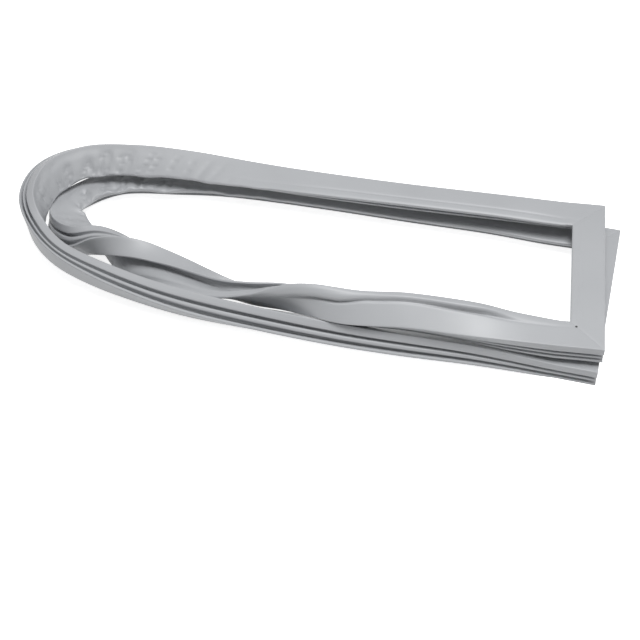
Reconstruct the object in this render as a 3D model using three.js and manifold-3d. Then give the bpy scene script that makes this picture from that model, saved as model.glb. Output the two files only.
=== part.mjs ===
// Refrigerator door gasket: four lengths of soft vinyl section welded at the corners into
// one frame, with a flexible magnet strip in the pocket of each length. The frame lies as
// it comes out of its packing, wound twice round: the upper short side rests on the lower
// one, one long side makes the outer loop and the other the inner loop.
// Millimetres, +Z up. X = 0 is the outer edge of the upper short side, Y runs along it.

import * as THREE from 'three';
import { mergeVertices } from 'three/addons/utils/BufferGeometryUtils.js';
import Module from 'manifold-3d';

const wasm = await Module();
wasm.setup();

// the welded frame, outer edge to outer edge
const SHORT_SIDE = 192;
const LONG_SIDE = 1190;

// the vinyl section
const FACE_WIDTH = 32;
const POCKET_DEPTH = 8;
const FOLD_THICKNESS = 3.4;
const FLANGE_THICKNESS = 3.2;
const GROOVE_GAP = 1.7;
const GROOVE_DEPTH = 3.6;
const STEM_WIDTH = 20;
const WALL = 1.4;

// the magnet strip
const MAGNET_WIDTH = 9;
const MAGNET_THICKNESS = 3;
const MAGNET_CLEARANCE = 0.35;
const MAGNET_END_GAP = 6;

// pinhole left by the weld, and the bore that joins the hollows behind it
const PINHOLE = 1.6;

// how the frame lies
const LAY_GAP = 5.4;
const LOWER_TURN = THREE.MathUtils.degToRad(6.5);
const LOWER_SHIFT = new THREE.Vector2(18.5, -7.5);
const WELD_LEAD = 26;
// the loops lie one inside the other, so one takes more of the strip and one takes less
const LOOP_SHARE = 31;

// how finely the curved lengths are stepped
const LONG_STEPS = 66;
const SHORT_STEPS = 5;

const SECTION_DEPTH = POCKET_DEPTH + 2 * GROOVE_GAP + FOLD_THICKNESS + FLANGE_THICKNESS;
const HALF_WIDTH = FACE_WIDTH / 2;
const HALF_DEPTH = SECTION_DEPTH / 2;
const LAYER = SECTION_DEPTH + LAY_GAP;
const LOWER_Z = HALF_DEPTH;
const UPPER_Z = LOWER_Z + LAYER;

const VINYL = new THREE.MeshStandardMaterial({ color: 0xa7a9aa, roughness: 0.55, metalness: 0 });
const FERRITE = new THREE.MeshStandardMaterial({ color: 0x37332f, roughness: 0.8, metalness: 0 });

// Outlines of the section. The first number runs outward across the face, the second
// downward from the face. All go round the same way.
function skinOutline() {
  const out = HALF_WIDTH;
  const root = out - GROOVE_DEPTH;
  const stem = out - STEM_WIDTH;
  const stemRoot = stem + GROOVE_DEPTH;
  const foldTop = POCKET_DEPTH + GROOVE_GAP;
  const foldEnd = foldTop + FOLD_THICKNESS;
  const flangeTop = foldEnd + GROOVE_GAP;
  return [
    [-out, 0],
    [out, 0],
    [out, POCKET_DEPTH],
    [root, POCKET_DEPTH + 0.3],
    [root, foldTop - 0.3],
    [out - 0.6, foldTop],
    [out - 0.6, foldEnd],
    [root, foldEnd + 0.3],
    [root, flangeTop - 0.3],
    [out, flangeTop],
    [out, SECTION_DEPTH],
    [stem, SECTION_DEPTH],
    [stem, flangeTop],
    [stemRoot, flangeTop - 0.3],
    [stemRoot, POCKET_DEPTH + 0.3],
    [-out, POCKET_DEPTH],
  ];
}

const magnetMiddle = HALF_WIDTH - 2 * WALL - MAGNET_CLEARANCE - MAGNET_WIDTH / 2;

function boxOutline(middle, width, top, depth) {
  return [
    [middle - width / 2, top],
    [middle + width / 2, top],
    [middle + width / 2, top + depth],
    [middle - width / 2, top + depth],
  ];
}

function magnetOutline() {
  return boxOutline(magnetMiddle, MAGNET_WIDTH, WALL + MAGNET_CLEARANCE, MAGNET_THICKNESS);
}

function pocketOutline() {
  const gap = 2 * MAGNET_CLEARANCE;
  return boxOutline(magnetMiddle, MAGNET_WIDTH + gap, WALL, MAGNET_THICKNESS + gap);
}

// the air chamber beside the magnet keeps the inner half of the face soft
function airOutline() {
  const outer = magnetMiddle - MAGNET_WIDTH / 2 - MAGNET_CLEARANCE - WALL;
  const inner = -HALF_WIDTH + WALL;
  return boxOutline((outer + inner) / 2, outer - inner, WALL, POCKET_DEPTH - 2 * WALL);
}

// the hollow behind the fold lets the section squeeze when the door shuts
function bellowsOutline() {
  const outer = HALF_WIDTH - GROOVE_DEPTH - WALL;
  const inner = HALF_WIDTH - STEM_WIDTH + GROOVE_DEPTH + WALL;
  const top = POCKET_DEPTH + WALL;
  const depth = SECTION_DEPTH - WALL - top;
  return boxOutline((outer + inner) / 2, outer - inner, top, depth);
}

// Corners of the coil. Each has its middle, and the outward directions of the side that
// comes in and of the side that leaves, so that the weld follows the mitre.
function corner(x, y, z, turn, quarter) {
  const a = -turn + quarter * Math.PI / 2;
  const incoming = new THREE.Vector3(Math.cos(a - Math.PI / 2), Math.sin(a - Math.PI / 2), 0);
  const leaving = new THREE.Vector3(Math.cos(a), Math.sin(a), 0);
  return { middle: new THREE.Vector3(x, y, z), incoming, leaving };
}

function cornerPair(origin, turn, z) {
  const place = (x, y, quarter) => {
    const p = new THREE.Vector2(x, y).rotateAround(new THREE.Vector2(), -turn).add(origin);
    return corner(p.x, p.y, z, turn, quarter);
  };
  return {
    front: place(-HALF_WIDTH, HALF_WIDTH, 0),
    back: place(-HALF_WIDTH, SHORT_SIDE - HALF_WIDTH, 1),
  };
}

const upper = cornerPair(new THREE.Vector2(0, 0), 0, UPPER_Z);
const lowerOrigin = new THREE.Vector2(LOWER_SHIFT.x - SHORT_SIDE * Math.sin(LOWER_TURN), LOWER_SHIFT.y);
const lower = cornerPair(lowerOrigin, LOWER_TURN, LOWER_Z);

// Free points of the long sides, as the strip was laid: x, y and z of the middle of the
// section and its roll in degrees. Roll 0 has the face up, and it grows as the outer edge
// lifts.
const OUTER_LOOP = [
  [-105, 178.5, UPPER_Z + 1, -5],
  [-205, 181, UPPER_Z + 2.5, -6],
  [-300, 187, UPPER_Z + 2, 0],
  [-360, 192, UPPER_Z + 2, 10],
  [-425, 199, UPPER_Z + 3, 26],
  [-480, 202, UPPER_Z + 3, 38],
  [-530, 195, UPPER_Z + 3.5, 47],
  [-563, 171, UPPER_Z + 2.5, 60],
  [-572, 134, UPPER_Z - 1, 78],
  [-560, 99, UPPER_Z - 8, 86],
  [-530, 70, UPPER_Z - 12, 86],
  [-480, 51, LOWER_Z + 9, 76],
  [-420, 37.5, LOWER_Z + 5.5, 64],
  [-345, 28, LOWER_Z + 3.5, 52],
  [-240, 20, LOWER_Z + 1, 38],
  [-120, 16, LOWER_Z + 1, 22],
];

const INNER_LOOP = [
  [-60, 175, LOWER_Z, 0],
  [-120, 182.5, LOWER_Z, 0],
  [-200, 188.5, LOWER_Z, 0],
  [-300, 197, LOWER_Z, 0],
  [-390, 202, LOWER_Z, 0],
  [-450, 199, LOWER_Z, 0],
  [-505, 182, LOWER_Z, 0],
  [-530, 158, LOWER_Z + 0.3, 2],
  [-537, 137, LOWER_Z + 2, 12],
  [-530, 117, LOWER_Z + 5.5, 42],
  [-508, 104, LOWER_Z + 8, 100],
  [-478, 91, LOWER_Z + 10, 150],
  [-436, 73, LOWER_Z + 14, 190],
  [-384, 56, LOWER_Z + 18, 216],
  [-350, 48.5, LOWER_Z + 21.5, 240],
  [-313, 43, LOWER_Z + 27.5, 266],
  [-283, 35, UPPER_Z + 6, 290],
  [-245, 27, UPPER_Z + 6.5, 314],
  [-190, 25, UPPER_Z + 7, 326],
  [-140, 21.5, UPPER_Z + 6.6, 332],
  [-94, 18.5, UPPER_Z + 3, 348],
];

// A long side from one weld to the next. Its loop reaches as far out as its length needs.
function longSide(start, free, end, length) {
  const leave = start.leaving.clone().cross(new THREE.Vector3(0, 0, -1));
  const arrive = end.incoming.clone().cross(new THREE.Vector3(0, 0, -1));
  const build = (reach) => {
    const rows = free.map(([x, y, z, roll]) => ({ point: new THREE.Vector3(x * reach, y, z), roll }));
    const first = { point: start.middle.clone(), roll: 0 };
    const second = { point: start.middle.clone().addScaledVector(leave, WELD_LEAD), roll: 0 };
    const lastRoll = Math.round(free.at(-1)[3] / 360) * 360;
    const third = { point: end.middle.clone().addScaledVector(arrive, -WELD_LEAD), roll: lastRoll };
    const fourth = { point: end.middle.clone(), roll: lastRoll };
    const all = [first, second, ...rows, third, fourth];
    const path = new THREE.CatmullRomCurve3(all.map((row) => row.point), false, 'catmullrom', 0.5);
    const rolls = all.map((row) => new THREE.Vector3(row.roll, 0, 0));
    return { path, rolls: new THREE.CatmullRomCurve3(rolls, false, 'catmullrom', 0.5) };
  };
  let low = 0.5;
  let high = 2;
  for (let i = 0; i < 24; i += 1) {
    const middle = (low + high) / 2;
    if (build(middle).path.getLength() < length - FACE_WIDTH) low = middle;
    else high = middle;
  }
  return build((low + high) / 2);
}

// Where the section stands along a side: its middle, outward and face directions.
function stationsOf(side, steps) {
  const stations = [];
  const ends = [side.path.getPoint(0), side.path.getPoint(1)];
  for (let i = 1; i < steps; i += 1) {
    const t = i / steps;
    const middle = side.path.getPoint(t);
    if (ends.some((end) => end.distanceTo(middle) < HALF_WIDTH + 4)) continue;
    const along = side.path.getTangent(t);
    const level = along.clone().cross(new THREE.Vector3(0, 0, 1)).normalize();
    const roll = THREE.MathUtils.degToRad(side.rolls.getPoint(t).x);
    const out = level.clone().applyAxisAngle(along, -roll);
    stations.push({ middle, out, face: out.clone().cross(along).normalize() });
  }
  return stations;
}

function mitre(at) {
  const out = at.incoming.clone().add(at.leaving).divideScalar(1 + at.incoming.dot(at.leaving));
  return { middle: at.middle.clone(), out, face: new THREE.Vector3(0, 0, 1) };
}

function shortSide(start, end) {
  const path = new THREE.LineCurve3(start.middle, end.middle);
  const rolls = new THREE.LineCurve3(new THREE.Vector3(), new THREE.Vector3());
  return { path, rolls };
}

function ring(outline, station) {
  return outline.map(([across, down]) => station.middle.clone()
    .addScaledVector(station.out, across)
    .addScaledVector(station.face, HALF_DEPTH - down));
}

// Skin over a row of rings: closed on itself, or with flat ends.
function solidOf(rings, loop) {
  const count = rings[0].length;
  const positions = rings.flat().flatMap((p) => [p.x, p.y, p.z]);
  const triangles = [];
  const last = loop ? rings.length : rings.length - 1;
  for (let i = 0; i < last; i += 1) {
    const a = i * count;
    const b = ((i + 1) % rings.length) * count;
    for (let j = 0; j < count; j += 1) {
      const k = (j + 1) % count;
      triangles.push(a + j, b + k, b + j, a + j, a + k, b + k);
    }
  }
  if (!loop) {
    const cap = (base, flip) => {
      for (let j = 1; j < count - 1; j += 1) {
        if (flip) triangles.push(base, base + j + 1, base + j);
        else triangles.push(base, base + j, base + j + 1);
      }
    };
    cap(0, true);
    cap((rings.length - 1) * count, false);
  }
  const geometry = new THREE.BufferGeometry();
  geometry.setAttribute('position', new THREE.Float32BufferAttribute(positions, 3));
  geometry.setIndex(triangles);
  return geometry;
}

function toManifold(geometry) {
  const bare = geometry.clone();
  bare.deleteAttribute('normal');
  bare.deleteAttribute('uv');
  const merged = mergeVertices(bare, 1e-4);
  return new wasm.Manifold(new wasm.Mesh({
    numProp: 3,
    vertProperties: new Float32Array(merged.attributes.position.array),
    triVerts: new Uint32Array(merged.index.array),
  }));
}

function toGeometry(solid) {
  const mesh = solid.getMesh();
  const geometry = new THREE.BufferGeometry();
  geometry.setAttribute('position', new THREE.BufferAttribute(mesh.vertProperties, 3));
  geometry.setIndex(new THREE.BufferAttribute(mesh.triVerts, 1));
  geometry.computeVertexNormals();
  return geometry;
}

const sides = {
  top_short: { curve: shortSide(upper.front, upper.back), steps: SHORT_STEPS, weld: upper.front },
  outer_long: { curve: longSide(upper.back, OUTER_LOOP, lower.front, LONG_SIDE + LOOP_SHARE), steps: LONG_STEPS, weld: upper.back },
  bottom_short: { curve: shortSide(lower.front, lower.back), steps: SHORT_STEPS, weld: lower.front },
  inner_long: { curve: longSide(lower.back, INNER_LOOP, upper.front, LONG_SIDE - LOOP_SHARE), steps: LONG_STEPS, weld: lower.back },
};
for (const side of Object.values(sides)) side.stations = stationsOf(side.curve, side.steps);

const allStations = Object.values(sides).flatMap((side) => [mitre(side.weld), ...side.stations]);
const around = (outline) => toManifold(solidOf(allStations.map((station) => ring(outline, station)), true));

// a round bore straight down through a weld, from one depth below the face to another
function bore(at, across, from, to) {
  const station = mitre(at);
  const cylinder = new THREE.CylinderGeometry(PINHOLE / 2, PINHOLE / 2, to - from, 10);
  cylinder.rotateX(Math.PI / 2);
  const middle = station.middle.clone()
    .addScaledVector(station.out, across)
    .addScaledVector(station.face, HALF_DEPTH - (from + to) / 2);
  cylinder.translate(middle.x, middle.y, middle.z);
  return toManifold(cylinder);
}

function makeFrame() {
  const air = airOutline();
  const pinholeAcross = air[0][0] + PINHOLE;
  const ventAcross = magnetMiddle - MAGNET_WIDTH / 2 + PINHOLE / 2;
  const bellowsAcross = bellowsOutline()[0][0] + PINHOLE;
  let body = around(skinOutline());
  for (const hollow of [pocketOutline(), air, bellowsOutline()]) body = body.subtract(around(hollow));
  body = body.subtract(bore(upper.front, pinholeAcross, -1, WALL + 1));
  body = body.subtract(bore(upper.front, bellowsAcross, WALL + 1, SECTION_DEPTH + 1));
  body = body.subtract(bore(lower.back, ventAcross, WALL + 1, SECTION_DEPTH + 1));
  return toGeometry(body);
}

const gasket = new THREE.Group();
gasket.name = 'refrigerator_door_gasket';

const frame = new THREE.Mesh(makeFrame(), VINYL);
frame.name = 'vinyl_frame';
gasket.add(frame);

for (const [name, side] of Object.entries(sides)) {
  const ends = [side.curve.path.getPoint(0), side.curve.path.getPoint(1)];
  const clear = HALF_WIDTH + MAGNET_END_GAP;
  const kept = side.stations.filter((s) => ends.every((end) => end.distanceTo(s.middle) > clear));
  const strip = new THREE.Mesh(solidOf(kept.map((s) => ring(magnetOutline(), s)), false), FERRITE);
  strip.name = `magnet_strip_${name}`;
  gasket.add(strip);
}

// the origin is the middle of the footprint, on the surface that the coil lies on
gasket.updateMatrixWorld(true);
const box = new THREE.Box3().setFromObject(gasket, true);
const middle = box.getCenter(new THREE.Vector3());
gasket.position.set(-middle.x, -middle.y, -box.min.z);

export default gasket;
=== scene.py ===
"""Refrigerator door gasket: a welded frame of grey vinyl section, wound twice round as it lies.

The upper short side rests on the lower one. One long side makes the outer loop and the
other the inner loop, which rolls over once on its way back to the upper short side.
"""

import logging
import math
from collections.abc import Callable, Iterable, Sequence
from dataclasses import dataclass, field, replace
from enum import Enum
from itertools import pairwise

import bmesh
import bpy
from mathutils import Matrix, Vector, noise


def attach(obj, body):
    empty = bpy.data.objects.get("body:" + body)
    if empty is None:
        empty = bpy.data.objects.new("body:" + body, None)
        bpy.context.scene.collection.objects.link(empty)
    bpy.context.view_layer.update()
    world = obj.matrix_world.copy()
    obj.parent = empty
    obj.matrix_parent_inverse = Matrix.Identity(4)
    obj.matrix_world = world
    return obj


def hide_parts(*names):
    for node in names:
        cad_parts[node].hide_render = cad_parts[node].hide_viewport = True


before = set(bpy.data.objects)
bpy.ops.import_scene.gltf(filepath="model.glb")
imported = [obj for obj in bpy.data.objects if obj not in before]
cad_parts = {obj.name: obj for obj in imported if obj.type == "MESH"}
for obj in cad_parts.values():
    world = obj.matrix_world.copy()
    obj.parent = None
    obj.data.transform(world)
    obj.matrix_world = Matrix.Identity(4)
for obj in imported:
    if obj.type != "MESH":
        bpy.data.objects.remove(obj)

LOG = logging.getLogger("gasket")
MM = 0.001
UP = Vector((0.0, 0.0, 1.0))
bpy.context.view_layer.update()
EdgeLoop = list[bmesh.types.BMEdge]


def linear(code: str) -> tuple[float, float, float, float]:
    """Turn an sRGB hex colour into linear light.

    Args:
        code: six hex digits, such as "a7a9aa".

    Returns:
        Red, green, blue and an alpha of 1.
    """
    def channel(value: int) -> float:
        """One sRGB channel, 0 to 255, as linear light."""
        part = value / 255.0
        return part / 12.92 if part <= 0.04045 else ((part + 0.055) / 1.055) ** 2.4

    red, green, blue = (channel(int(code[i:i + 2], 16)) for i in (0, 2, 4))
    return red, green, blue, 1.0


def smooth(value: float, low: float, high: float) -> float:
    """Ease from 0 at low to 1 at high.

    Args:
        value: where to look.
        low: where the ease starts.
        high: where it ends, which may lie below low.

    Returns:
        A number from 0 to 1.
    """
    t = min(1.0, max(0.0, (value - low) / (high - low)))
    return t * t * (3.0 - 2.0 * t)


def bell(value: float, middle: float, width: float) -> float:
    """A soft hump of height 1 about middle, close to nothing beyond twice its width."""
    return math.exp(-((value - middle) / width) ** 2)


def add_node(tree: bpy.types.NodeTree, kind: str, settings: dict | None = None,
             links: dict | None = None) -> bpy.types.Node:
    """Add a shader node with its settings and links.

    Args:
        tree: the material's or world's node tree.
        kind: the node's type name.
        settings: attribute names, or input names, with their values.
        links: input names with the output socket each one takes.

    Returns:
        The new node.
    """
    node = tree.nodes.new(kind)
    for name, value in (settings or {}).items():
        if hasattr(node, name):
            setattr(node, name, value)
        else:
            node.inputs[name].default_value = value
    for name, socket in (links or {}).items():
        tree.links.new(socket, node.inputs[name])
    return node


def lift(tree: bpy.types.NodeTree) -> bpy.types.NodeSocket:
    """How far a ray is one that shows the background itself, from 0 to 1."""
    path = add_node(tree, "ShaderNodeLightPath")
    seen = add_node(tree, "ShaderNodeMath", {"operation": "MAXIMUM"})
    tree.links.new(path.outputs["Is Camera Ray"], seen.inputs[0])
    tree.links.new(path.outputs["Is Glossy Ray"], seen.inputs[1])
    every = add_node(tree, "ShaderNodeMath", {"operation": "MAXIMUM"})
    tree.links.new(seen.outputs[0], every.inputs[0])
    tree.links.new(path.outputs["Is Transmission Ray"], every.inputs[1])
    return every.outputs[0]


@dataclass(frozen=True)
class SoftVinyl:
    """Extruded plasticised PVC: an even neutral grey with a low sheen and a faint die grain."""

    name: str = "extruded_vinyl"
    colour: str = "9ea0a3"
    bloom: str = "a9abae"
    roughness: float = 0.46
    grain_mm: float = 0.9
    cloud_mm: float = 60.0
    relief_mm: float = 0.02
    relief_strength: float = 0.35
    ior: float = 1.53
    # Place, size and colour of a dark disk of painted shade where a pinhole would be; the mesh
    # has no hole there.
    pinhole: tuple[float, float, float] = (0.2552, -0.0805, 0.0418)
    pinhole_mm: float = 1.2
    pinhole_shade_colour: str = "303132"

    def build(self) -> bpy.types.Material:
        """Make the material.

        Returns:
            A vinyl whose colour drifts slightly over the surface, as a film of plasticiser
            does, with a grain too fine to see one by one, and one small disk of painted shade for
            a pinhole.
        """
        # Soft PVC drawn hot through a die: smooth and matt-silky, with a wide pale sheen on
        # the bends and no mirror image. Beside the upper front weld a small dark disk is painted
        # shade for a pinhole that the mesh does not have.
        material = bpy.data.materials.new(self.name)
        material.use_nodes = True
        tree = material.node_tree
        tree.nodes.clear()
        place = add_node(tree, "ShaderNodeTexCoord").outputs["Object"]
        cloud = add_node(tree, "ShaderNodeTexNoise",
                         {"Scale": 1.0 / (self.cloud_mm * MM), "Detail": 2.0, "Roughness": 0.5},
                         {"Vector": place})
        grain = add_node(tree, "ShaderNodeTexNoise",
                         {"Scale": 1.0 / (self.grain_mm * MM), "Detail": 2.0, "Roughness": 0.6},
                         {"Vector": place})
        tint = add_node(tree, "ShaderNodeMixRGB",
                        {"Color1": linear(self.colour), "Color2": linear(self.bloom)},
                        {"Fac": cloud.outputs["Fac"]})
        bump = add_node(tree, "ShaderNodeBump",
                        {"Strength": self.relief_strength, "Distance": self.relief_mm * MM},
                        {"Height": grain.outputs["Fac"]})
        # Painted shade: within the pinhole's radius the vinyl colour turns dark, in place of the
        # shade inside a real hole.
        away = add_node(tree, "ShaderNodeVectorMath", {"operation": "DISTANCE"})
        tree.links.new(place, away.inputs[0])
        away.inputs[1].default_value = self.pinhole
        pinhole_shade_mask = add_node(tree, "ShaderNodeMath", {"operation": "LESS_THAN"})
        tree.links.new(away.outputs["Value"], pinhole_shade_mask.inputs[0])
        pinhole_shade_mask.inputs[1].default_value = self.pinhole_mm * MM
        with_pinhole_shade = add_node(tree, "ShaderNodeMixRGB", {"Color2": linear(self.pinhole_shade_colour)},
                          {"Fac": pinhole_shade_mask.outputs[0], "Color1": tint.outputs["Color"]})
        skin = add_node(tree, "ShaderNodeBsdfPrincipled",
                        {"Roughness": self.roughness, "IOR": self.ior},
                        {"Base Color": with_pinhole_shade.outputs["Color"], "Normal": bump.outputs["Normal"]})
        add_node(tree, "ShaderNodeOutputMaterial", links={"Surface": skin.outputs["BSDF"]})
        return material


@dataclass(frozen=True)
class FerriteRubber:
    """Extruded ferrite powder in a rubber binder: flat dark brown-grey and quite matt."""

    name: str = "ferrite_rubber"
    colour: str = "37332f"
    roughness: float = 0.8

    def build(self) -> bpy.types.Material:
        """Make the material."""
        # Ferrite powder pressed in rubber and extruded: powdery and dark, with hardly any shine.
        material = bpy.data.materials.new(self.name)
        material.use_nodes = True
        tree = material.node_tree
        tree.nodes.clear()
        skin = add_node(tree, "ShaderNodeBsdfPrincipled",
                        {"Base Color": linear(self.colour), "Roughness": self.roughness})
        add_node(tree, "ShaderNodeOutputMaterial", links={"Surface": skin.outputs["BSDF"]})
        return material


@dataclass(frozen=True)
class StudioFloor:
    """Matt white card, which shows white and keeps a soft shadow."""

    name: str = "white_card"
    colour: str = "f2f2f2"
    glow: float = 0.8

    def build(self) -> bpy.types.Material:
        """Make the material.

        Returns:
            A matt white that glows a little to the camera alone.
        """
        # Rolled paper card: no shine at all, so that only the shadow shows on it.
        material = bpy.data.materials.new(self.name)
        material.use_nodes = True
        tree = material.node_tree
        tree.nodes.clear()
        card = add_node(tree, "ShaderNodeBsdfDiffuse", {"Color": linear(self.colour)})
        strength = add_node(tree, "ShaderNodeMath", {"operation": "MULTIPLY"})
        tree.links.new(lift(tree), strength.inputs[0])
        strength.inputs[1].default_value = self.glow
        glow = add_node(tree, "ShaderNodeEmission", {"Color": (1.0, 1.0, 1.0, 1.0)},
                        {"Strength": strength.outputs[0]})
        both = add_node(tree, "ShaderNodeAddShader")
        tree.links.new(card.outputs[0], both.inputs[0])
        tree.links.new(glow.outputs[0], both.inputs[1])
        add_node(tree, "ShaderNodeOutputMaterial", links={"Surface": both.outputs[0]})
        return material


class Weld(Enum):
    """The four mitred corners of the frame, in the order in which the strip meets them."""

    UPPER_FRONT = "upper_front"
    UPPER_BACK = "upper_back"
    LOWER_FRONT = "lower_front"
    LOWER_BACK = "lower_back"


@dataclass(frozen=True)
class SectionCorner:
    """One corner of the section's outline, in millimetres.

    Attributes:
        across: outward across the face.
        down: downward from the face.
        radius: rounding of the corner.
        segments: pieces of the rounding.
        before: how many points divide the edge that leads to the corner.
    """

    across: float
    down: float
    radius: float = 0.0
    segments: int = 0
    before: int = 0


@dataclass(frozen=True)
class VinylSection:
    """Sizes of the extruded section, in millimetres.

    Attributes:
        face: width of the sealing face.
        pocket: depth of the magnet's pocket.
        fold: thickness of the fold behind the pocket.
        flange: thickness of the mounting flange.
        gap: opening of each groove.
        groove: depth of each groove.
        stem: width of the fold and the flange.
        pinch: how much of the pocket's depth is lost at its soft inner edge.
    """

    face: float = 32.0
    pocket: float = 8.0
    fold: float = 2.6
    flange: float = 2.4
    gap: float = 2.5
    groove: float = 7.0
    stem: float = 20.0
    pinch: float = 0.55

    @property
    def depth(self) -> float:
        """From the face to the underside."""
        return self.pocket + 2.0 * self.gap + self.fold + self.flange

    @property
    def half(self) -> float:
        """Half of the face."""
        return self.face / 2.0

    def corners(self) -> list[SectionCorner]:
        """List the outline's corners in order round the section."""
        out = self.half
        root = out - self.groove
        stem = out - self.stem
        inner_root = stem + self.groove
        fold_top = self.pocket + self.gap
        fold_end = fold_top + self.fold
        flange_top = fold_end + self.gap
        under = self.depth
        return [
            SectionCorner(-out, 0.0, 2.6, 6),
            SectionCorner(out, 0.0, 0.8, 3, before=26),
            SectionCorner(out, self.pocket, 1.0, 3, before=2),
            SectionCorner(root, self.pocket + 0.3),
            SectionCorner(root, fold_top - 0.3),
            SectionCorner(out - 0.4, fold_top, 0.9, 3),
            SectionCorner(out - 0.4, fold_end, 1.1, 3),
            SectionCorner(root, fold_end + 0.3),
            SectionCorner(root, flange_top - 0.3),
            SectionCorner(out, flange_top, 0.7, 3),
            SectionCorner(out, under, 0.8, 3),
            SectionCorner(stem, under, 0.8, 3, before=5),
            SectionCorner(stem, flange_top, 0.7, 3),
            SectionCorner(inner_root, flange_top - 0.3),
            SectionCorner(inner_root, self.pocket + 0.4, 0.5, 2, before=1),
            SectionCorner(-out, self.pocket, 3.2, 5, before=4),
        ]

    def outline(self) -> list[tuple[float, float]]:
        """Round the corners and divide the long edges.

        Returns:
            The outline's points, across and down.
        """
        corners = self.corners()
        points: list[tuple[float, float]] = []
        for i, corner in enumerate(corners):
            here = Vector((corner.across, corner.down))
            last = Vector((corners[i - 1].across, corners[i - 1].down))
            follow = corners[(i + 1) % len(corners)]
            then = Vector((follow.across, follow.down))
            back = (last - here).normalized()
            ahead = (then - here).normalized()
            half_angle = back.angle(ahead) / 2.0
            setback = corner.radius / math.tan(half_angle) if corner.radius else 0.0
            start = here + back * setback
            if corner.before:
                previous = Vector(points[-1])
                for k in range(1, corner.before + 1):
                    points.append(tuple(previous.lerp(start, k / (corner.before + 1))))
            if not corner.radius:
                points.append(tuple(here))
                continue
            centre = here + (back + ahead).normalized() * (corner.radius / math.sin(half_angle))
            end = here + ahead * setback
            for k in range(corner.segments + 1):
                spoke = (start - centre).lerp(end - centre, k / corner.segments)
                points.append(tuple(centre + spoke.normalized() * corner.radius))
        return points


@dataclass(frozen=True)
class Softness:
    """How the soft section has given at one place along a side, in millimetres.

    Attributes:
        at: distance along the side, as a share of it.
        spread: how far the folds behind the pocket have opened.
        droop: how far the inner edge of the face has sunk.
        crease: depth of the crease beside the magnet.
        crease_at: where the crease lies, outward across the face.
        bulge: how far the soft half of the face stands out.
        ripple: height of the wrinkles across the face.
        wave: height of the waves along the inner edge.
        reach: how far the inner edge stretches inward.
    """

    at: float
    spread: float = 0.0
    droop: float = 0.0
    crease: float = 0.0
    crease_at: float = -5.0
    bulge: float = 0.0
    ripple: float = 0.0
    wave: float = 0.0
    reach: float = 0.0


@dataclass(frozen=True)
class WrinkleField:
    """How the wrinkles of a bend lie, in millimetres.

    Attributes:
        fold_length: from fold to fold along the side.
        fold_run: how far a fold keeps its place across the face.
        fine_length: from crumple to crumple along the side.
        fine_run: the same across the face.
        sway_length: from wave to wave along the inner edge.
        slant: how far a fold leans along the side for each millimetre across.
        flat_rim: how far from the outer edge the face stays smooth, over the magnet.
    """

    fold_length: float = 11.0
    fold_run: float = 45.0
    fine_length: float = 5.0
    fine_run: float = 12.0
    sway_length: float = 22.0
    slant: float = 0.25
    flat_rim: float = 3.0

    def swell(self, travel: float, across: float) -> float:
        """Height of the face at a place: soft swells with narrow valleys, about 1 at most."""
        along = travel + across * self.slant
        ridge = noise.noise(Vector((along / self.fold_length, across / self.fold_run, 3.7)))
        fold = abs(ridge) * 2.2
        fine = noise.noise(Vector((along / self.fine_length, across / self.fine_run, 9.1)))
        return 1.0 - 2.6 * math.exp(-fold * 6.0) + 0.5 * fine

    def sway(self, travel: float) -> float:
        """How far the inner edge leans to one side, from about -1 to 1."""
        return noise.noise(Vector((travel / self.sway_length, 8.1, 0.3))) * 2.0


def between(marks: Sequence[Softness], at: float) -> Softness:
    """Ease between the marks on either side of a place.

    Args:
        marks: the marks of one side, in order.
        at: the place, as a share of the side.

    Returns:
        The softness there.
    """
    if at <= marks[0].at:
        return marks[0]
    for low, high in pairwise(marks):
        if at <= high.at:
            t = smooth(at, low.at, high.at)
            names = ("spread", "droop", "crease", "crease_at", "bulge", "ripple", "wave", "reach")
            mixed = {n: getattr(low, n) * (1.0 - t) + getattr(high, n) * t for n in names}
            return Softness(at, **mixed)
    return marks[-1]


@dataclass
class Station:
    """Where the section stands: its middle, its outward and face directions, how it has given.

    The seam is 0 in a weld, where the grooves are melted shut, and 1 where they are open.
    """

    middle: Vector
    out: Vector
    face: Vector
    travel: float = 0.0
    soft: Softness = field(default_factory=lambda: Softness(0.0))
    seam: float = 1.0


@dataclass(frozen=True)
class Mitre:
    """A welded corner: its middle, and the outward directions of the two sides it joins."""

    middle: Vector
    incoming: Vector
    leaving: Vector

    @property
    def out(self) -> Vector:
        """The outward direction in the weld, long enough to keep both sides' width."""
        return (self.incoming + self.leaving) / (1.0 + self.incoming.dot(self.leaving))

    @property
    def arrive(self) -> Vector:
        """The way the strip runs as it reaches the weld."""
        return self.incoming.cross(-UP)

    @property
    def leave(self) -> Vector:
        """The way the strip runs as it leaves the weld."""
        return self.leaving.cross(-UP)


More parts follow.
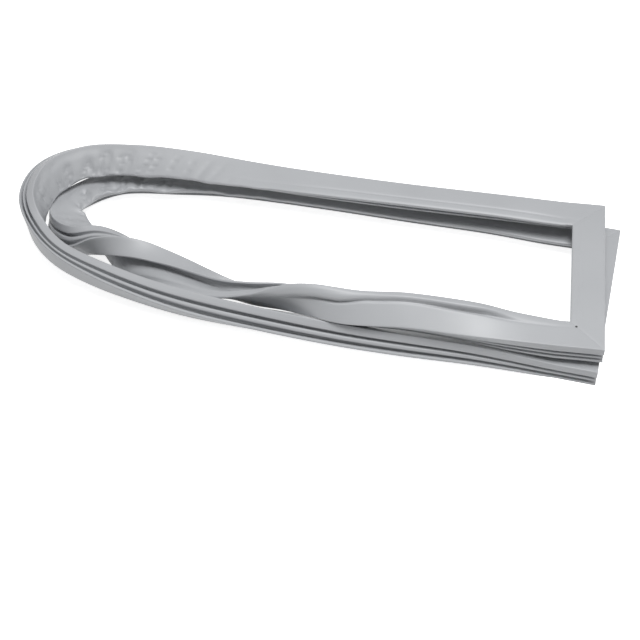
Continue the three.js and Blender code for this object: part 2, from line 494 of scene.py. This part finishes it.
class Trail:
    """A smooth curve through points, with the roll of the section along it."""

    def __init__(self, rows: Sequence[tuple[Vector, float]]) -> None:
        """Keep the rows that the curve passes through.

        Args:
            rows: points in millimetres, each with its roll in degrees.
        """
        self.rows = [Vector((*point, roll)) for point, roll in rows]
        first, second = self.rows[0], self.rows[1]
        last, before = self.rows[-1], self.rows[-2]
        self.padded = [first * 2.0 - second, *self.rows, last * 2.0 - before]

    def at(self, share: float) -> Vector:
        """Place and roll at a share of the rows.

        Args:
            share: 0 at the first row and 1 at the last.

        Returns:
            x, y, z and roll.
        """
        spans = len(self.rows) - 1
        place = min(max(share, 0.0), 1.0) * spans
        index = min(int(place), spans - 1)
        t = place - index
        a, b, c, d = self.padded[index:index + 4]
        slope_b = (c - a) * 0.5
        slope_c = (d - b) * 0.5
        square = (c - b) * 3.0 - slope_b * 2.0 - slope_c
        cube = (b - c) * 2.0 + slope_b + slope_c
        return b + slope_b * t + square * (t * t) + cube * (t * t * t)

    def point(self, share: float) -> Vector:
        """The place alone at a share of the rows."""
        return self.at(share).to_3d()

    def along(self, share: float) -> Vector:
        """The direction at a share of the rows."""
        step = 0.0001
        return (self.point(share + step) - self.point(share - step)).normalized()

    def length(self) -> float:
        """The curve's length, in millimetres."""
        places = [self.point(i / 200.0) for i in range(201)]
        return sum((b - a).length for a, b in pairwise(places))

    def shares(self, spacing: float) -> list[tuple[float, float]]:
        """Divide the curve evenly.

        Args:
            spacing: about how far apart the divisions are, in millimetres.

        Returns:
            Shares of the rows, each with its distance along the curve.
        """
        fine = 4000
        travelled = [0.0]
        previous = self.point(0.0)
        for i in range(1, fine + 1):
            here = self.point(i / fine)
            travelled.append(travelled[-1] + (here - previous).length)
            previous = here
        count = round(travelled[-1] / spacing)
        found = []
        index = 0
        for k in range(count + 1):
            target = travelled[-1] * k / count
            while index < fine - 1 and travelled[index + 1] < target:
                index += 1
            span = travelled[index + 1] - travelled[index]
            found.append(((index + (target - travelled[index]) / span) / fine, target))
        return found


@dataclass(frozen=True)
class CoilLay:
    """How the frame was laid down, in millimetres.

    The free points give the middle of the section and its roll in degrees: roll 0 has the
    face up, and it grows as the outer edge lifts.
    """

    short: float = 192.0
    long: float = 1190.0
    share: float = 31.0
    clearance: float = 5.4
    turn: float = math.radians(6.5)
    shift: tuple[float, float] = (18.5, -7.5)
    lead: float = 26.0
    origin: tuple[float, float, float] = (281.464, -106.405, 0.651)
    outer_loop: tuple[tuple[float, float, float, float], ...] = (
        (-105, 178.5, 33.4, -5),
        (-205, 181, 34.9, -6),
        (-300, 187, 34.4, 0),
        (-360, 192, 34.4, 10),
        (-425, 199, 35.4, 26),
        (-480, 202, 35.4, 38),
        (-530, 195, 35.9, 47),
        (-563, 170, 35.9, 58),
        (-572, 132, 34.4, 71),
        (-560, 99, 24.4, 86),
        (-530, 70, 20.4, 86),
        (-480, 51, 18, 76),
        (-420, 37.5, 14.5, 64),
        (-345, 28, 12.5, 52),
        (-240, 20, 10, 38),
        (-120, 16, 10, 22),
    )
    inner_loop: tuple[tuple[float, float, float, float], ...] = (
        (-60, 175, 9, 0),
        (-120, 182.5, 9, 0),
        (-200, 188.5, 9, 0),
        (-300, 197, 9, 0),
        (-390, 202, 9, 0),
        (-450, 199, 9, 0),
        (-511, 192, 9, 0),
        (-549, 166, 9, 2),
        (-561, 139, 9.6, 10),
        (-541, 112, 12, 38),
        (-512, 99, 16, 96),
        (-480, 85, 18, 144),
        (-436, 69, 21, 188),
        (-384, 51, 22, 216),
        (-350, 45, 25.5, 240),
        (-313, 41.5, 32.5, 266),
        (-283, 35, 36.9, 290),
        (-245, 27, 36.9, 314),
        (-190, 25, 39.4, 326),
        (-140, 21.5, 39, 332),
        (-94, 18.5, 35.4, 348),
    )

    def welds(self, section: VinylSection) -> dict[Weld, Mitre]:
        """Place the four corners.

        Args:
            section: the section's sizes.

        Returns:
            Each weld's place and directions.
        """
        lower_z = section.depth / 2.0
        upper_z = lower_z + section.depth + self.clearance
        slide = self.short * math.sin(self.turn)
        lower = Vector((self.shift[0] - slide, self.shift[1], 0.0))

        def mitre(origin: Vector, turn: float, y: float, z: float, quarter: int) -> Mitre:
            """One corner of a short side, turned clockwise about the side's front end."""
            spin = Matrix.Rotation(-turn, 3, "Z")
            place = spin @ Vector((-section.half, y, 0.0)) + origin + UP * z
            ahead = -turn + quarter * math.pi / 2.0
            behind = ahead - math.pi / 2.0
            return Mitre(place,
                         Vector((math.cos(behind), math.sin(behind), 0.0)),
                         Vector((math.cos(ahead), math.sin(ahead), 0.0)))

        far = self.short - section.half
        none = Vector((0.0, 0.0, 0.0))
        return {
            Weld.UPPER_FRONT: mitre(none, 0.0, section.half, upper_z, 0),
            Weld.UPPER_BACK: mitre(none, 0.0, far, upper_z, 1),
            Weld.LOWER_FRONT: mitre(lower, self.turn, section.half, lower_z, 0),
            Weld.LOWER_BACK: mitre(lower, self.turn, far, lower_z, 1),
        }


@dataclass(frozen=True)
class SideLay:
    """One side of the frame as it lies: its welds, free points, length and softness."""

    name: str
    start: Weld
    end: Weld
    marks: tuple[Softness, ...]
    free: tuple[tuple[float, float, float, float], ...] = ()
    length: float = 0.0


def sweep(mesh: bmesh.types.BMesh,
          rings: Sequence[Sequence[Vector]]) -> tuple[EdgeLoop, EdgeLoop]:
    """Extrude a closed outline from ring to ring.

    Args:
        mesh: the mesh that takes the skin.
        rings: the outline's places, one row for each ring.

    Returns:
        The edges of the first ring and of the last.
    """
    corners = [mesh.verts.new(place) for place in rings[0]]
    start = [mesh.edges.new((a, b)) for a, b in zip(corners, [*corners[1:], corners[0]])]
    loop = start
    for places in rings[1:]:
        made = bmesh.ops.extrude_edge_only(mesh, edges=loop)["geom"]
        loop = [piece for piece in made if isinstance(piece, bmesh.types.BMEdge)][:len(start)]
        for i, place in enumerate(places):
            shared = set(loop[i].verts) & set(loop[i - 1].verts)
            shared.pop().co = place
    return start, loop


def dress(mesh: bmesh.types.BMesh, name: str, material: bpy.types.Material,
          smooth_shade: bool = True) -> bpy.types.Object:
    """Make a swept mesh an object of the gasket.

    Args:
        mesh: the closed mesh, which is freed.
        name: the object's name.
        material: its finish.
        smooth_shade: whether its faces shade into one another.

    Returns:
        The object, riding on the part.
    """
    bmesh.ops.recalc_face_normals(mesh, faces=mesh.faces[:])
    data = bpy.data.meshes.new(name)
    mesh.to_mesh(data)
    mesh.free()
    data.materials.append(material)
    if smooth_shade:
        data.shade_smooth()
    piece = bpy.data.objects.new(name, data)
    bpy.context.scene.collection.objects.link(piece)
    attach(piece, "root")
    return piece


@dataclass
class GasketFrame:
    """The vinyl frame, swept from its section along the four sides, in millimetres.

    Attributes:
        section: sizes of the section.
        lay: how the frame was laid down.
        finish: the vinyl.
        wrinkles: how the wrinkles of the bends lie.
        spacing: between the rings of a long side.
        straight_spacing: between the rings of a short side, which is straight.
        weld_clear: how far from a weld's inner corner the first plain ring stands.
        weld_steps: each ring beside a weld, as its distance from the weld and its seam.
        weld_dip: how deep the weld's line lies in the face.
        weld_inset: how far the melted grooves stay behind the outer side.
        crease_width: half of the width of a crease.
        soft_from: where the pocket starts to thin toward its inner edge.
        runs: the stations of each side, by the side's name.
    """

    section: VinylSection = field(default_factory=VinylSection)
    lay: CoilLay = field(default_factory=CoilLay)
    finish: SoftVinyl = field(default_factory=SoftVinyl)
    wrinkles: WrinkleField = field(default_factory=WrinkleField)
    spacing: float = 3.0
    straight_spacing: float = 9.0
    weld_clear: float = 8.0
    weld_steps: tuple[tuple[float, float], ...] = ((0.7, 0.1), (3.0, 0.35), (5.0, 1.0))
    weld_dip: float = 0.5
    weld_inset: float = 0.5
    crease_width: float = 1.3
    soft_from: float = -5.0
    runs: dict[str, list[Station]] = field(default_factory=dict)

    def sides(self) -> list[SideLay]:
        """List the four sides in the order in which the strip runs."""
        flat = Softness(0.0, crease=0.25, crease_at=-9.0)
        calm = (flat, replace(flat, at=1.0))
        outer = (
            flat,
            Softness(0.05, droop=1.6, crease=0.9, crease_at=-7.0, bulge=0.6),
            Softness(0.20, droop=1.4, crease=0.9, crease_at=-7.0, bulge=0.6),
            Softness(0.27, droop=0.6, crease=0.3, crease_at=-8.0, wave=0.5),
            Softness(0.33, droop=0.4, ripple=0.3, wave=1.0),
            Softness(0.40, spread=-0.5, ripple=0.8, wave=1.0),
            Softness(0.48, spread=-2.0, ripple=1.3, wave=0.6, reach=3.0),
            Softness(0.55, spread=-1.5),
            Softness(0.62, spread=2.0),
            Softness(0.70, spread=4.0),
            Softness(0.85, spread=3.5),
            Softness(0.96, spread=1.5),
            Softness(1.0, spread=1.5),
        )
        lower = (
            Softness(0.0, spread=1.5),
            replace(flat, at=0.2),
            replace(flat, at=1.0),
        )
        inner = (
            flat,
            Softness(0.26, crease_at=-8.0),
            Softness(0.34, ripple=0.3, wave=1.8),
            Softness(0.43, ripple=1.1, wave=2.4),
            Softness(0.49, spread=1.0, ripple=1.6, wave=1.5),
            Softness(0.515, spread=5.0, ripple=1.0, reach=4.0),
            Softness(0.58, spread=6.0, reach=7.0),
            Softness(0.63),
            Softness(0.72, crease_at=-5.0),
            Softness(0.75, crease=1.5, crease_at=-4.0, bulge=3.0),
            Softness(0.79, crease=3.2, crease_at=-4.0, bulge=3.0),
            Softness(0.82, crease=1.8, crease_at=-8.0, bulge=1.5),
            Softness(0.85, crease=1.2, crease_at=-9.0, bulge=3.0),
            Softness(0.91, crease=3.0, crease_at=-8.0, bulge=4.2),
            Softness(0.945, crease=0.5, crease_at=-6.0, bulge=0.5),
            replace(flat, at=1.0),
        )
        lay = self.lay
        return [
            SideLay("upper short side", Weld.UPPER_FRONT, Weld.UPPER_BACK, calm),
            SideLay("outer loop", Weld.UPPER_BACK, Weld.LOWER_FRONT, outer,
                    lay.outer_loop, lay.long + lay.share),
            SideLay("lower short side", Weld.LOWER_FRONT, Weld.LOWER_BACK, lower),
            SideLay("inner loop", Weld.LOWER_BACK, Weld.UPPER_FRONT, inner,
                    lay.inner_loop, lay.long - lay.share),
        ]

    def trail(self, side: SideLay, start: Mitre, end: Mitre) -> Trail:
        """Run a side's curve, reaching as far out as its length needs.

        Args:
            side: the side.
            start: the weld that it leaves.
            end: the weld that it reaches.

        Returns:
            The curve of the section's middle.
        """
        if not side.free:
            return Trail([(start.middle, 0.0), (end.middle, 0.0)])
        last = round(side.free[-1][3] / 360.0) * 360.0

        def build(reach: float) -> Trail:
            """The curve with its free points stretched along X."""
            rows = [(start.middle, 0.0), (start.middle + start.leave * self.lay.lead, 0.0)]
            rows += [(Vector((x * reach, y, z)), roll) for x, y, z, roll in side.free]
            rows += [(end.middle - end.arrive * self.lay.lead, last), (end.middle, last)]
            return Trail(rows)

        low, high = 0.5, 2.0
        for _ in range(24):
            half = (low + high) / 2.0
            if build(half).length() < side.length - self.section.face:
                low = half
            else:
                high = half
        return build((low + high) / 2.0)

    def stations(self, side: SideLay, start: Mitre, end: Mitre) -> list[Station]:
        """Stand the section along one side, the weld at its start included.

        Args:
            side: the side.
            start: the weld that it leaves.
            end: the weld that it reaches.

        Returns:
            The stations in order.
        """
        trail = self.trail(side, start, end)
        shares = trail.shares(self.spacing if side.free else self.straight_spacing)
        total = shares[-1][1]
        clear = self.section.half + self.weld_clear
        found = [Station(start.middle.copy(), start.out, UP.copy(), 0.0, side.marks[0], 0.0)]
        for offset, seam in self.weld_steps:
            found.append(Station(start.middle + start.leave * offset, start.out, UP.copy(),
                                 offset, side.marks[0], seam))
        for share, travel in shares:
            if travel < clear or travel > total - clear:
                continue
            row = trail.at(share)
            along = trail.along(share)
            level = along.cross(UP).normalized()
            out = Matrix.Rotation(-math.radians(row[3]), 3, along) @ level
            soft = between(side.marks, travel / total)
            found.append(Station(row.to_3d(), out, out.cross(along).normalized(), travel, soft))
        for offset, seam in reversed(self.weld_steps):
            found.append(Station(end.middle - end.arrive * offset, end.out, UP.copy(),
                                 total - offset, side.marks[-1], seam))
        return found

    def given(self, across: float, down: float, station: Station) -> tuple[float, float]:
        """Move one point of the outline as the soft section gives.

        Args:
            across: the point's place outward across the face.
            down: its place downward from the face.
            station: where the section stands.

        Returns:
            The point's new place, across and down.
        """
        section = self.section
        soft = station.soft
        in_pocket = 1.0 - smooth(down, section.pocket - 0.5, section.pocket + 0.5)
        on_face = 1.0 - smooth(down, 0.0, 1.5)
        inner_half = smooth(across, 2.0, -section.half)
        if section.pocket < down < section.depth + 0.01 and across > 0.0:
            root = section.half - section.groove
            groove = smooth(across, root + 1.5, root)
            across += groove * (1.0 - station.seam) * (section.groove - self.weld_inset)
        down += soft.spread * smooth(down, section.pocket, section.depth)
        across -= soft.reach * inner_half * in_pocket
        down *= 1.0 - section.pinch * smooth(across, self.soft_from, -section.half) * in_pocket
        down += self.weld_dip * (1.0 - station.seam) ** 4 * on_face
        down += soft.droop * inner_half ** 1.5 * in_pocket
        down += soft.crease * bell(across, soft.crease_at, self.crease_width) * on_face
        tube = (soft.crease_at - across) / (soft.crease_at + section.half)
        if tube > 0.0 and in_pocket:
            swell = soft.bulge * math.sin(math.pi * min(tube, 1.0)) ** 0.8
            down -= swell * on_face
            across -= soft.bulge * 0.5 * smooth(tube, 0.7, 1.0) * in_pocket
        if soft.ripple or soft.wave:
            travel = station.travel
            wrinkles = self.wrinkles
            rim = smooth(across, section.half - wrinkles.flat_rim, wrinkles.flat_rim)
            down -= soft.ripple * wrinkles.swell(travel, across) * on_face * rim
            across += soft.wave * wrinkles.sway(travel) * inner_half * in_pocket
        return across, down

    def place(self, outline: Iterable[tuple[float, float]], station: Station) -> list[Vector]:
        """Stand an outline at a station as it is.

        Args:
            outline: points across and down.
            station: where it stands.

        Returns:
            The ring's points, in metres, in the part's own frame.
        """
        origin = Vector(self.lay.origin) + station.middle
        half = self.section.depth / 2.0
        return [(origin + station.out * across + station.face * (half - down)) * MM
                for across, down in outline]

    def ring(self, outline: Iterable[tuple[float, float]], station: Station) -> list[Vector]:
        """Stand the section's outline at a station, as the soft vinyl gives there.

        Args:
            outline: points across and down.
            station: where it stands.

        Returns:
            The ring's points, in metres, none of them below the floor.
        """
        given = [self.given(across, down, station) for across, down in outline]
        return [Vector((p.x, p.y, max(p.z, 0.0))) for p in self.place(given, station)]

    def build(self) -> bpy.types.Object:
        """Sweep the section round the frame and close it on itself.

        Returns:
            The vinyl frame.
        """
        welds = self.lay.welds(self.section)
        stations: list[Station] = []
        for side in self.sides():
            found = self.stations(side, welds[side.start], welds[side.end])
            self.runs[side.name] = found
            stations += found
        outline = self.section.outline()
        mesh = bmesh.new()
        start, loop = sweep(mesh, [self.ring(outline, station) for station in stations])
        bmesh.ops.bridge_loops(mesh, edges=[*loop, *start])
        piece = dress(mesh, "vinyl_gasket", self.finish.build())
        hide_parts("vinyl_frame")
        LOG.info("vinyl gasket: %d rings of %d points", len(stations), len(outline))
        return piece


@dataclass
class MagnetStrips:
    """The flexible magnets sealed in the pocket of each side, in millimetres."""

    gasket: GasketFrame
    finish: FerriteRubber = field(default_factory=FerriteRubber)
    width: float = 9.0
    thickness: float = 3.0
    wall: float = 1.4
    clearance: float = 0.35
    end_gap: float = 6.0

    def outline(self) -> list[tuple[float, float]]:
        """The strip's outline in its pocket, across and down."""
        outer = self.gasket.section.half - 2.0 * self.wall - self.clearance
        inner = outer - self.width
        top = self.wall + self.clearance
        low = top + self.thickness
        return [(inner, top), (outer, top), (outer, low), (inner, low)]

    def build(self) -> list[bpy.types.Object]:
        """Lay one strip along each side, short of its welds.

        Returns:
            The four strips.
        """
        nodes = {
            "upper short side": "magnet_strip_top_short",
            "outer loop": "magnet_strip_outer_long",
            "lower short side": "magnet_strip_bottom_short",
            "inner loop": "magnet_strip_inner_long",
        }
        material = self.finish.build()
        clear = self.gasket.section.half + self.end_gap
        strips = []
        for side, node in nodes.items():
            run = self.gasket.runs[side]
            total = run[-1].travel
            kept = [s for s in run if clear < s.travel < total - clear]
            mesh = bmesh.new()
            rings = [self.gasket.place(self.outline(), s) for s in kept[::2]]
            start, loop = sweep(mesh, rings)
            bmesh.ops.contextual_create(mesh, geom=start)
            bmesh.ops.contextual_create(mesh, geom=loop)
            piece = dress(mesh, node.replace("strip", "inlay"), material, smooth_shade=False)
            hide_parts(node)
            strips.append(piece)
            LOG.info("magnet strip of the %s: %d rings", side, len(rings))
        return strips


@dataclass
class Studio:
    """A pale floor, soft light and the camera, in millimetres."""

    target: tuple[float, float, float] = (14.43, -60.93, -5.05)
    azimuth: float = 7.35
    elevation: float = 48.0
    distance: float = 1450.67
    lens: float = 84.375
    sensor: float = 36.0
    floor: StudioFloor = field(default_factory=StudioFloor)
    floor_reach: float = 6000.0
    ambient: float = 0.29
    lamp_place: tuple[float, float, float] = (250.0, -150.0, 1600.0)
    lamp_size: float = 700.0
    lamp_watts: float = 24.0

    def build_floor(self) -> bpy.types.Object:
        """Lay a wide floor under the gasket."""
        mesh = bmesh.new()
        bmesh.ops.create_grid(mesh, x_segments=1, y_segments=1, size=self.floor_reach * MM)
        data = bpy.data.meshes.new("floor")
        mesh.to_mesh(data)
        mesh.free()
        data.materials.append(self.floor.build())
        floor = bpy.data.objects.new("floor", data)
        bpy.context.scene.collection.objects.link(floor)
        return floor

    def build_world(self) -> None:
        """Fill the room with an even soft light that looks white to the camera."""
        world = bpy.data.worlds.new("soft_room")
        world.use_nodes = True
        tree = world.node_tree
        tree.nodes.clear()
        strength = add_node(tree, "ShaderNodeMapRange", {"To Min": self.ambient, "To Max": 1.0})
        tree.links.new(lift(tree), strength.inputs["Value"])
        sky = add_node(tree, "ShaderNodeBackground", {"Color": (1.0, 1.0, 1.0, 1.0)},
                       {"Strength": strength.outputs["Result"]})
        add_node(tree, "ShaderNodeOutputWorld", links={"Surface": sky.outputs[0]})
        bpy.context.scene.world = world

    def build_lamp(self) -> None:
        """Hang one soft box that faces the middle of the gasket."""
        place = Vector(self.lamp_place) * MM
        data = bpy.data.lights.new("top_soft_box", "AREA")
        data.shape = "SQUARE"
        data.size = self.lamp_size * MM
        data.energy = self.lamp_watts
        lamp = bpy.data.objects.new("top_soft_box", data)
        lamp.location = place
        lamp.rotation_euler = (-place).to_track_quat("-Z", "Y").to_euler()
        bpy.context.scene.collection.objects.link(lamp)

    def build_camera(self) -> bpy.types.Object:
        """Stand the camera at the photograph's angle."""
        a = math.radians(self.azimuth)
        e = math.radians(self.elevation)
        back = Vector((math.sin(a) * math.cos(e), -math.cos(a) * math.cos(e), math.sin(e)))
        data = bpy.data.cameras.new("camera")
        data.lens = self.lens
        data.sensor_width = self.sensor
        camera = bpy.data.objects.new("camera", data)
        camera.location = (Vector(self.target) + back * self.distance) * MM
        camera.rotation_euler = (-back).to_track_quat("-Z", "Y").to_euler()
        bpy.context.scene.collection.objects.link(camera)
        bpy.context.scene.camera = camera
        return camera

    def build(self) -> None:
        """Set up the whole studio."""
        self.build_floor()
        self.build_world()
        self.build_lamp()
        self.build_camera()
        bpy.context.scene.view_settings.view_transform = "Standard"


def main() -> None:
    """Build the gasket and the studio."""
    logging.basicConfig(level=logging.INFO, format="%(message)s")
    gasket = GasketFrame()
    builders: list[tuple[str, Callable[[], object]]] = [
        ("vinyl gasket", gasket.build),
        ("magnet strips", MagnetStrips(gasket).build),
        ("studio", Studio().build),
    ]
    for name, build in builders:
        build()
        LOG.info("built the %s", name)


if __name__ == "__main__":
    main()
